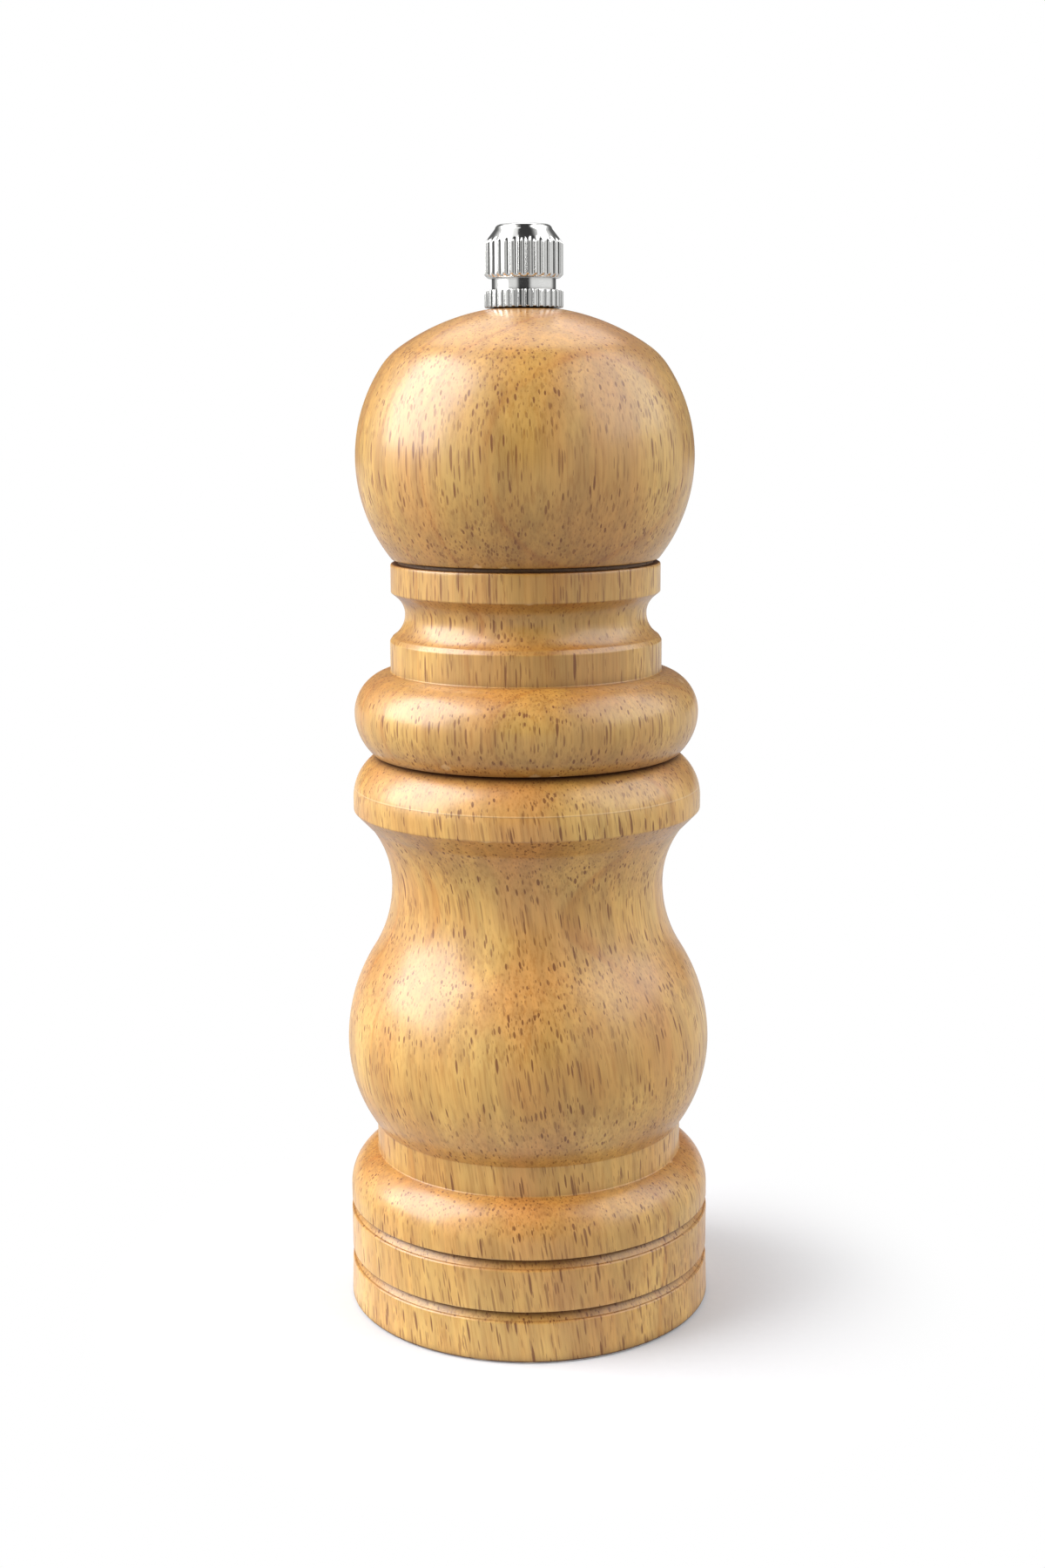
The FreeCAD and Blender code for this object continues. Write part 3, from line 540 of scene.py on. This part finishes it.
END_GRAIN = (0.86, 0.69, 0.44, 1)
# sloping faces are darkened: darker end grain, and partly painted shade on the faces that look down
TILT_START, TILT_FULL, TILT_STAIN_AND_SHADE = 0.12, 0.9, 0.8
PORE = colour(114, 64, 8)
# painted shade: a dark brown laid into the corners, grooves and seams of the turned wood
CORNER_SHADE = colour(74, 42, 20)
CORNER_REACH = 2.4
CORNER_DARK_AT, CORNER_CLEAR_AT, CORNER_SHADE_SHARE = 0.3, 0.85, 0.95
COAT, COAT_ROUGHNESS, COAT_IOR = 0.85, 0.27, 1.5
CORNER_COAT, DULL_AT, GLOSSY_AT = 0.1, 0.4, 0.9
SHEEN = 0.42
# painted highlight: a pale colour laid on sharp edges and along the raised line
PAINTED_HIGHLIGHT = colour(222, 190, 142)
EDGE_HIGHLIGHT_START, EDGE_HIGHLIGHT_FULL, EDGE_HIGHLIGHT_SHARE = 0.53, 0.62, 0.35
# the raised line: its width, the share of its painted highlight and its relief
LINE_WIDTH, LINE_HIGHLIGHT_SHARE, LINE_HEIGHT = 0.16, 0.3, 2.5


def moved(shift, across=0.0, ahead=0.0):
    return (shift[0] + across, shift[1] + ahead, shift[2])


def grain(tree, shift, along, lean=(0, 0, 0), **settings):
    """Noise drawn out along the wood's grain."""
    return noise(tree, millimetres(tree, (1, 1, along), lean, shift), **settings).outputs[0]


def pores(tree, lean, shift, across, along, radius, share):
    """Mask of thin vessels along the grain. A share of the cells of across x across x along mm hold one each,
    up to radius mm thick."""
    place = millimetres(tree, (1 / across, 1 / across, 1 / along), lean, shift)
    straying = millimetres(tree, (1, 1, PORE_WANDER_ALONG), shift=shift)
    wander = noise(tree, straying, PORE_WANDER_SCALE).outputs["Color"]
    reach = (PORE_WANDER / across, PORE_WANDER / across, 0)
    bent = add(tree, "VectorMath", {0: wander, 1: reach, 2: place}, operation="MULTIPLY_ADD").outputs[0]
    cells = add(tree, "TexVoronoi", {"Vector": bent, "Scale": 1.0, "Randomness": 1.0})
    chance = add(tree, "SeparateColor", {0: cells.outputs["Color"]})
    edge = ramp(tree, chance.outputs[0], 0.0, 1.0, PORE_NARROWEST * radius / across, radius / across)
    mask = ramp(tree, cells.outputs["Distance"], edge, calc(tree, "MULTIPLY", edge, PORE_FLAT))
    there = calc(tree, "LESS_THAN", chance.outputs[1], share)
    weight = ramp(tree, chance.outputs[2], 0.0, 1.0, PORE_FAINTEST, 1.0)
    return calc(tree, "MULTIPLY", calc(tree, "MULTIPLY", mask, there), weight)


def all_pores(tree, lean, shift):
    """Masks of the strong pores and of the fine ones, which are closer together where they crowd."""
    crowded = ramp(tree, grain(tree, shift, **CROWD), CROWD_START, CROWD_FULL)
    dark_share = calc(tree, "MULTIPLY_ADD", crowded, DARK_CROWDING, DARK_SHARE)
    fine_share = calc(tree, "MULTIPLY_ADD", crowded, FINE_CROWDING, FINE_SHARE)
    dark = pores(tree, lean, shift, **DARK_PORES, share=dark_share)
    long = pores(tree, lean, moved(shift, ahead=LONG_AHEAD), **LONG_PORES)
    fine = pores(tree, lean, moved(shift, across=FINE_ASIDE), **FINE_PORES, share=fine_share)
    return calc(tree, "MAXIMUM", dark, long), fine


def growth_rings(tree, place, shift, pith):
    """Thin lines of late wood round a pith that lies outside the blank, strong in some places and faint in
    others."""
    straying = millimetres(tree, (1, 1, RING_WANDER_ALONG), shift=shift)
    wander = noise(tree, straying, RING_WANDER_SCALE, 1.0).outputs["Color"]
    reach = (RING_WANDER, RING_WANDER, 0)
    bent = add(tree, "VectorMath", {0: wander, 1: reach, 2: place}, operation="MULTIPLY_ADD").outputs[0]
    level = add(tree, "VectorMath", {0: bent, 1: (1, 1, 0)}, operation="MULTIPLY").outputs[0]
    distance = add(tree, "VectorMath", {0: level, 1: (*pith, 0)}, operation="DISTANCE").outputs["Value"]
    part = calc(tree, "FRACT", calc(tree, "DIVIDE", distance, RING_SPACING))
    late = calc(tree, "MULTIPLY", ramp(tree, part, RING_START, RING_PEAK), ramp(tree, part, 1.0, RING_PEAK))
    patches = noise(tree, place, RING_PATCHES).outputs[0]
    strength = ramp(tree, patches, RING_FAINT_AT, RING_STRONG_AT, RING_FAINTEST, 1.0)
    return calc(tree, "MULTIPLY", late, strength)


def wood_tone(tree, light, deep, blush, shift, fibre, broad):
    """The wood's own colour, drifting between three, with lighter and darker fibres."""
    base = blend_colour(tree, spread(tree, grain(tree, shift, **DRIFT)), light, deep)
    flush = grain(tree, moved(shift, across=FLUSH_ASIDE), **FLUSH)
    flushed = ramp(tree, flush, FLUSH_START, FLUSH_FULL, 0.0, FLUSH_SHARE)
    base = blend_colour(tree, flushed, base, blush)
    tone = calc(tree, "ADD", spread(tree, fibre, *FIBRE_TONE), spread(tree, broad, *BROAD_TONE))
    return add(tree, "HueSaturation", {"Color": base, "Value": calc(tree, "ADD", tone, 1.0)}).outputs[0]


def wood(name, light, deep, blush, lean, shift, pith, ridge_highlight_at=None):
    """Lacquered rubberwood. Grain, pores and rings are set in the solid, so a turned face cuts through them.
    A fine raised line, lightened by a painted highlight, may run round it at the height given in mm."""
    material, tree, shader = new_material(
        name, Specular_IOR_Level=SHEEN, Coat_Roughness=COAT_ROUGHNESS, Coat_IOR=COAT_IOR)
    fibre = grain(tree, shift, lean=lean, **FIBRE)
    broad = grain(tree, shift, lean=lean, **BROAD)
    late = growth_rings(tree, millimetres(tree, turn=lean, shift=shift), shift, pith)
    strong, fine = all_pores(tree, lean, shift)
    geometry = add(tree, "NewGeometry")
    tilt = calc(tree, "ABSOLUTE", add(tree, "SeparateXYZ", {0: geometry.outputs["Normal"]}).outputs[2])
    shelter = sheltered(tree, CORNER_REACH)

    # end grain soaks up more lacquer, so sloping faces are deeper, and so are late wood and dark fibres; the
    # sloping faces' darkening is also painted shade on the faces that look down
    shaded = wood_tone(tree, light, deep, blush, shift, fibre, broad)
    for stain in (ramp(tree, tilt, TILT_START, TILT_FULL, 0.0, TILT_STAIN_AND_SHADE),
                  calc(tree, "MULTIPLY", late, RING_STAIN),
                  ramp(tree, fibre, FIBRE_STAIN_START, FIBRE_STAIN_FULL, 0.0, FIBRE_STAIN)):
        shaded = blend_colour(tree, stain, shaded, END_GRAIN, "MULTIPLY")
    shaded = blend_colour(tree, calc(tree, "MULTIPLY", fine, FINE_STAIN), shaded, PORE)
    shaded = blend_colour(tree, calc(tree, "MULTIPLY", strong, STRONG_STAIN), shaded, PORE)
    # painted shade darkens the narrow corners, and a painted highlight lightens the sharp edges
    corner_shade = ramp(tree, shelter, CORNER_DARK_AT, CORNER_CLEAR_AT, CORNER_SHADE_SHARE, 0.0)
    shaded = blend_colour(tree, corner_shade, shaded, CORNER_SHADE)
    edge_highlight = ramp(tree, geometry.outputs["Pointiness"], EDGE_HIGHLIGHT_START, EDGE_HIGHLIGHT_FULL, 0.0, EDGE_HIGHLIGHT_SHARE)
    shaded = blend_colour(tree, edge_highlight, shaded, PAINTED_HIGHLIGHT)

    sunk = calc(tree, "MAXIMUM", strong, calc(tree, "MULTIPLY", fine, FINE_HEIGHT))
    height = calc(tree, "SUBTRACT", calc(tree, "MULTIPLY", fibre, FIBRE_HEIGHT), sunk)
    # a thin raised ridge in relief, lightened by a painted highlight
    if ridge_highlight_at:
        up = add(tree, "SeparateXYZ", {0: millimetres(tree)}).outputs[2]
        line = ramp(tree, calc(tree, "ABSOLUTE", calc(tree, "SUBTRACT", up, ridge_highlight_at)), LINE_WIDTH, 0.0)
        shaded = blend_colour(tree, calc(tree, "MULTIPLY", line, LINE_HIGHLIGHT_SHARE), shaded, PAINTED_HIGHLIGHT)
        height = calc(tree, "MULTIPLY_ADD", line, LINE_HEIGHT, height)
    rough = calc(tree, "MULTIPLY_ADD", strong, STRONG_ROUGHNESS, spread(tree, fibre, *FIBRE_ROUGHNESS))
    tree.links.new(shaded, shader.inputs["Base Color"])
    tree.links.new(rough, shader.inputs["Roughness"])
    tree.links.new(ramp(tree, shelter, DULL_AT, GLOSSY_AT, CORNER_COAT, COAT), shader.inputs["Coat Weight"])
    bumped(tree, shader, height, GRAIN_RELIEF, GRAIN_DEPTH)
    return material


# the metals, plastics and ceramic

# painted shade: a dark grey laid into the corners of a finish
METAL_SHADE = colour(72, 68, 64)
METAL_SHADE_DARK_AT, METAL_SHADE_CLEAR_AT, METAL_SHADE_SHARE = 0.35, 0.85, 0.85
FINE_GRAIN = {"detail": 3.0, "roughness": 0.6}
CLOUD = {"scale": 0.25}
ROUGHNESS_FLECK, ROUGHNESS_CLOUD = 0.2, 0.02
FINISH_RELIEF = 0.4
EVEN = (1, 1, 1)


def finish_of(name, base, rough, fleck, stretch, scale, bump, shade_reach=None, **sockets):
    """A plain finish with a fine grain in its tone, roughness and surface, and painted shade darkening its
    corners as far as the given reach, in mm."""
    material, tree, shader = new_material(name, **sockets)
    fine = noise(tree, millimetres(tree, stretch), scale, **FINE_GRAIN).outputs[0]
    wide = noise(tree, millimetres(tree), **CLOUD).outputs[0]
    tone = calc(tree, "ADD", spread(tree, fine, 1 - fleck, 1 + fleck), spread(tree, wide, -fleck, fleck))
    tinted = add(tree, "HueSaturation", {"Color": base, "Value": tone}).outputs[0]
    # painted shade darkens the corners
    if shade_reach:
        corner_shade = ramp(tree, sheltered(tree, shade_reach), METAL_SHADE_DARK_AT, METAL_SHADE_CLEAR_AT, METAL_SHADE_SHARE, 0.0)
        tinted = blend_colour(tree, corner_shade, tinted, METAL_SHADE)
    flecks = spread(tree, fine, rough * (1 - ROUGHNESS_FLECK), rough * (1 + ROUGHNESS_FLECK))
    clouds = spread(tree, wide, -ROUGHNESS_CLOUD, ROUGHNESS_CLOUD)
    tree.links.new(tinted, shader.inputs["Base Color"])
    tree.links.new(calc(tree, "ADD", flecks, clouds), shader.inputs["Roughness"])
    bumped(tree, shader, fine, FINISH_RELIEF, bump)
    return material


def metal(*settings, shade_reach=None):
    return finish_of(*settings, shade_reach=shade_reach, Metallic=1.0)


barrel_wood = wood(
    "barrel_wood", light=colour(200, 160, 85), deep=colour(181, 134, 63), blush=colour(190, 138, 74),
    lean=BARREL_LEAN, shift=(0, 0, 0), pith=(14, 97.4), ridge_highlight_at=76.6)
head_wood = wood(
    "head_wood", light=colour(190, 151, 78), deep=colour(168, 125, 57), blush=colour(178, 130, 66),
    lean=HEAD_LEAN, shift=(47, 13, 5), pith=(4, 88))

# colour, roughness, fleck, stretch of the grain, its scale in 1/mm and the relief in mm
# the chrome's corners and flutes get painted shade, as far as 0.7 mm
chrome = metal("knob_chrome", colour(214, 214, 212), 0.12, 0.02, (1, 1, 4), 2.0, 0.0004, shade_reach=0.7)
aluminium = metal("shaft_aluminium", colour(196, 197, 199), 0.3, 0.05, (1, 1, 0.03), 6.0, 0.004)
plate_steel = metal("plate_steel", colour(186, 188, 190), 0.34, 0.07, EVEN, 1.6, 0.006)
screw_steel = metal("screw_steel", colour(190, 190, 184), 0.28, 0.06, EVEN, 2.2, 0.004)
spring_steel = metal("spring_steel", colour(170, 170, 168), 0.24, 0.06, EVEN, 3.0, 0.003)
bush_brass = metal("bush_brass", colour(201, 160, 90), 0.26, 0.06, (1, 1, 6), 2.5, 0.004)
housing_plastic = finish_of("housing_plastic", colour(46, 46, 47), 0.5, 0.1, EVEN, 4.5, 0.02)
hub_plastic = finish_of("hub_plastic", colour(58, 58, 60), 0.45, 0.08, EVEN, 4.0, 0.014)
washer_plastic = finish_of("washer_plastic", colour(224, 221, 208), 0.42, 0.03, EVEN, 3.0, 0.01)
burr_ceramic = finish_of("burr_ceramic", colour(228, 226, 218), 0.35, 0.03, EVEN, 3.5, 0.012)

CARRIED_OVER = {
    "driver_plate": plate_steel, "bridge": plate_steel,
    "driver_plate_screws": screw_steel, "housing_screws": screw_steel, "bridge_screws": screw_steel,
    "mechanism_housing": housing_plastic, "rotor_hub": hub_plastic,
    "burr_ring": burr_ceramic, "burr_cone": burr_ceramic,
    "burr_ring_retainer": spring_steel, "spring_washer": spring_steel, "shaft_washer": spring_steel,
    "shaft_clip": spring_steel, "thrust_washer": washer_plastic, "bridge_bush": bush_brass,
}


def dress(piece, material):
    piece.data.materials.clear()
    piece.data.materials.append(material)


for node, material in CARRIED_OVER.items():
    dress(NODES[node], material)


def place_piece(piece, body, node, material):
    dress(piece, material)
    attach(piece, body)
    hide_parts(node)


place_piece(turned("barrel_turning", barrel_outline(), WOOD_COLUMNS),
            "barrel", "barrel", barrel_wood)
place_piece(turned("head_turning", head_outline(), WOOD_COLUMNS),
            "head", "head", head_wood)
place_piece(turned("knob_fluted", knob_outline(), KNOB_COLUMNS, fluted),
            "knob", "adjusting_knob", chrome)
shaft = turned("shaft_bar", shaft_points(), SHAFT_COLUMNS, shaft_radius)
shaft.data.set_sharp_from_angle(angle=SHAFT_SHARP)
place_piece(shaft, "drive", "drive_shaft", aluminium)

coil = spring()
dress(coil, spring_steel)
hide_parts("burr_spring")
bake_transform(coil)

# ---------------------------------------------------------------- floor, light and camera

FLOOR_REACH = 3.0       # metres
FLOOR_SIDES = 96
FOOT_CONTACT = FOOT_RADIUS - FOOT_CHAMFER
FLOOR_FADE = (0.028, 0.066)     # metres from the axis, from paper to plain white
FLOOR_FAR = 0.7
PAPER_DARK, PAPER_LIGHT = colour(204, 204, 207), colour(208, 208, 211)
PAPER_GRAIN = {"scale": 0.8, "detail": 3.0}
WHITE = (1, 1, 1, 1)


def floor():
    """A pale floor that fades into the white surround, out of the mill's shadow. It is open under the foot and
    clear from below, so that the mill's underside can be looked at."""
    mesh = bpy.data.meshes.new("floor")
    corners, faces = [], []
    for i in range(FLOOR_SIDES):
        angle = 2 * math.pi * i / FLOOR_SIDES
        corners += [(r * math.cos(angle), r * math.sin(angle), 0) for r in (FOOT_CONTACT * MM, FLOOR_REACH)]
        k = (i + 1) % FLOOR_SIDES
        faces.append((2 * i, 2 * i + 1, 2 * k + 1, 2 * k))
    mesh.from_pydata(corners, [], faces)
    made = bpy.data.objects.new("floor", mesh)
    bpy.context.scene.collection.objects.link(made)
    material, tree, shader = new_material("floor_paper", Roughness=0.9, Specular_IOR_Level=0.1)
    grain = noise(tree, millimetres(tree), **PAPER_GRAIN).outputs[0]
    tree.links.new(blend_colour(tree, grain, PAPER_DARK, PAPER_LIGHT), shader.inputs["Base Color"])
    seen = add(tree, "LightPath").outputs["Is Camera Ray"]
    strength = ramp(tree, seen, 0.0, 1.0, FLOOR_FAR, 1.0)
    glow = add(tree, "Emission", {"Color": WHITE, "Strength": strength})
    place = add(tree, "TexCoord").outputs["Object"]
    away = add(tree, "VectorMath", {0: place}, operation="LENGTH").outputs["Value"]
    fade = ramp(tree, away, *FLOOR_FADE)
    mixed = add(tree, "MixShader", {0: fade, 1: shader.outputs[0], 2: glow.outputs[0]})
    below = add(tree, "NewGeometry").outputs["Backfacing"]
    clear = add(tree, "BsdfTransparent").outputs[0]
    mixed = add(tree, "MixShader", {0: below, 1: mixed.outputs[0], 2: clear})
    tree.links.new(mixed.outputs[0], tree.nodes["Material Output"].inputs["Surface"])
    made.data.materials.append(material)


def softbox(name, azimuth, elevation, distance, width, height, radiance, aim):
    """A rectangular light that faces aim from a distance, azimuth degrees to the left of the camera and
    elevation degrees above the horizontal."""
    lamp = bpy.data.lights.new(name, "AREA")
    lamp.shape = "RECTANGLE"
    lamp.size, lamp.size_y = width, height
    lamp.energy = radiance * math.pi * width * height
    made = bpy.data.objects.new(name, lamp)
    bpy.context.scene.collection.objects.link(made)
    a, e = math.radians(azimuth), math.radians(elevation)
    back = Vector((-math.sin(a) * math.cos(e), -math.cos(a) * math.cos(e), math.sin(e)))
    made.location = Vector(aim) + back * distance
    made.rotation_mode = "QUATERNION"
    made.rotation_quaternion = back.to_track_quat("Z", "Y")


def surround():
    """White walls to the left and right, with darkness in front, overhead and behind. The camera sees only
    white."""
    world = bpy.data.worlds.new("studio")
    world.use_nodes = True
    tree = world.node_tree
    direction = add(tree, "SeparateXYZ", {0: add(tree, "TexCoord").outputs["Generated"]})
    sideways = calc(tree, "ABSOLUTE", direction.outputs[0])
    wall = ramp(tree, sideways, *WALL_START, DARK_LEVEL, WALL_LEVEL)
    behind = ramp(tree, direction.outputs[1], *BACK_START)
    wall = add(tree, "MapRange", {"Value": behind, "To Min": wall, "To Max": BACK_LEVEL}).outputs[0]
    lit = add(tree, "Background", {"Color": WHITE, "Strength": wall})
    white = add(tree, "Background", {"Color": WHITE, "Strength": 1.0})
    seen = add(tree, "LightPath").outputs["Is Camera Ray"]
    mixed = add(tree, "MixShader", {0: seen, 1: lit.outputs[0], 2: white.outputs[0]})
    tree.links.new(mixed.outputs[0], tree.nodes["World Output"].inputs["Surface"])
    tree.nodes.remove(tree.nodes["Background"])
    bpy.context.scene.world = world


WALL_START, BACK_START = (0.25, 0.52), (0.4, 0.75)     # parts of a unit direction, sideways and back
WALL_LEVEL, DARK_LEVEL, BACK_LEVEL = 1.0, 0.06, 0.15
AIM = (0, 0, 0.08)
LIGHT_DISTANCE = 0.8

floor()
surround()
# azimuth, elevation, distance, width, height, radiance, aim
softbox("key_left", 83, 34, LIGHT_DISTANCE, 0.75, 0.78, 6.8, AIM)
softbox("key_high", 75, 60, LIGHT_DISTANCE, 0.6, 0.5, 1.1, AIM)
softbox("fill_right", -83, 40, LIGHT_DISTANCE, 0.85, 0.75, 2.15, AIM)
softbox("back_top", 180, 60, LIGHT_DISTANCE, 0.6, 0.6, 2.0, AIM)

CAMERA_PLACE = (0, -0.28600, 0.13156)
CAMERA_YAW, CAMERA_PITCH, CAMERA_ROLL = math.radians(-0.121), math.radians(10.925), math.radians(-0.353)
CAMERA_LENS, SENSOR = 46.584, 36    # mm
CAMERA_CLIP = (0.01, 20)            # metres


def camera():
    data = bpy.data.cameras.new("camera")
    data.sensor_width = SENSOR
    data.lens = CAMERA_LENS
    data.clip_start, data.clip_end = CAMERA_CLIP
    made = bpy.data.objects.new("camera", data)
    bpy.context.scene.collection.objects.link(made)
    yaw, pitch, roll = CAMERA_YAW, CAMERA_PITCH, CAMERA_ROLL
    ahead = Vector((math.sin(yaw) * math.cos(pitch), math.cos(yaw) * math.cos(pitch), -math.sin(pitch)))
    right = Vector((math.cos(yaw), -math.sin(yaw), 0))
    up = right.cross(ahead)
    turned_right = right * math.cos(roll) + up * math.sin(roll)
    turned_up = up * math.cos(roll) - right * math.sin(roll)
    made.matrix_world = Matrix.Translation(CAMERA_PLACE) @ Matrix(
        (turned_right, turned_up, -ahead)).transposed().to_4x4()
    bpy.context.scene.camera = made


camera()
bpy.context.scene.view_settings.view_transform = "Standard"

bpy.context.view_layer.update()
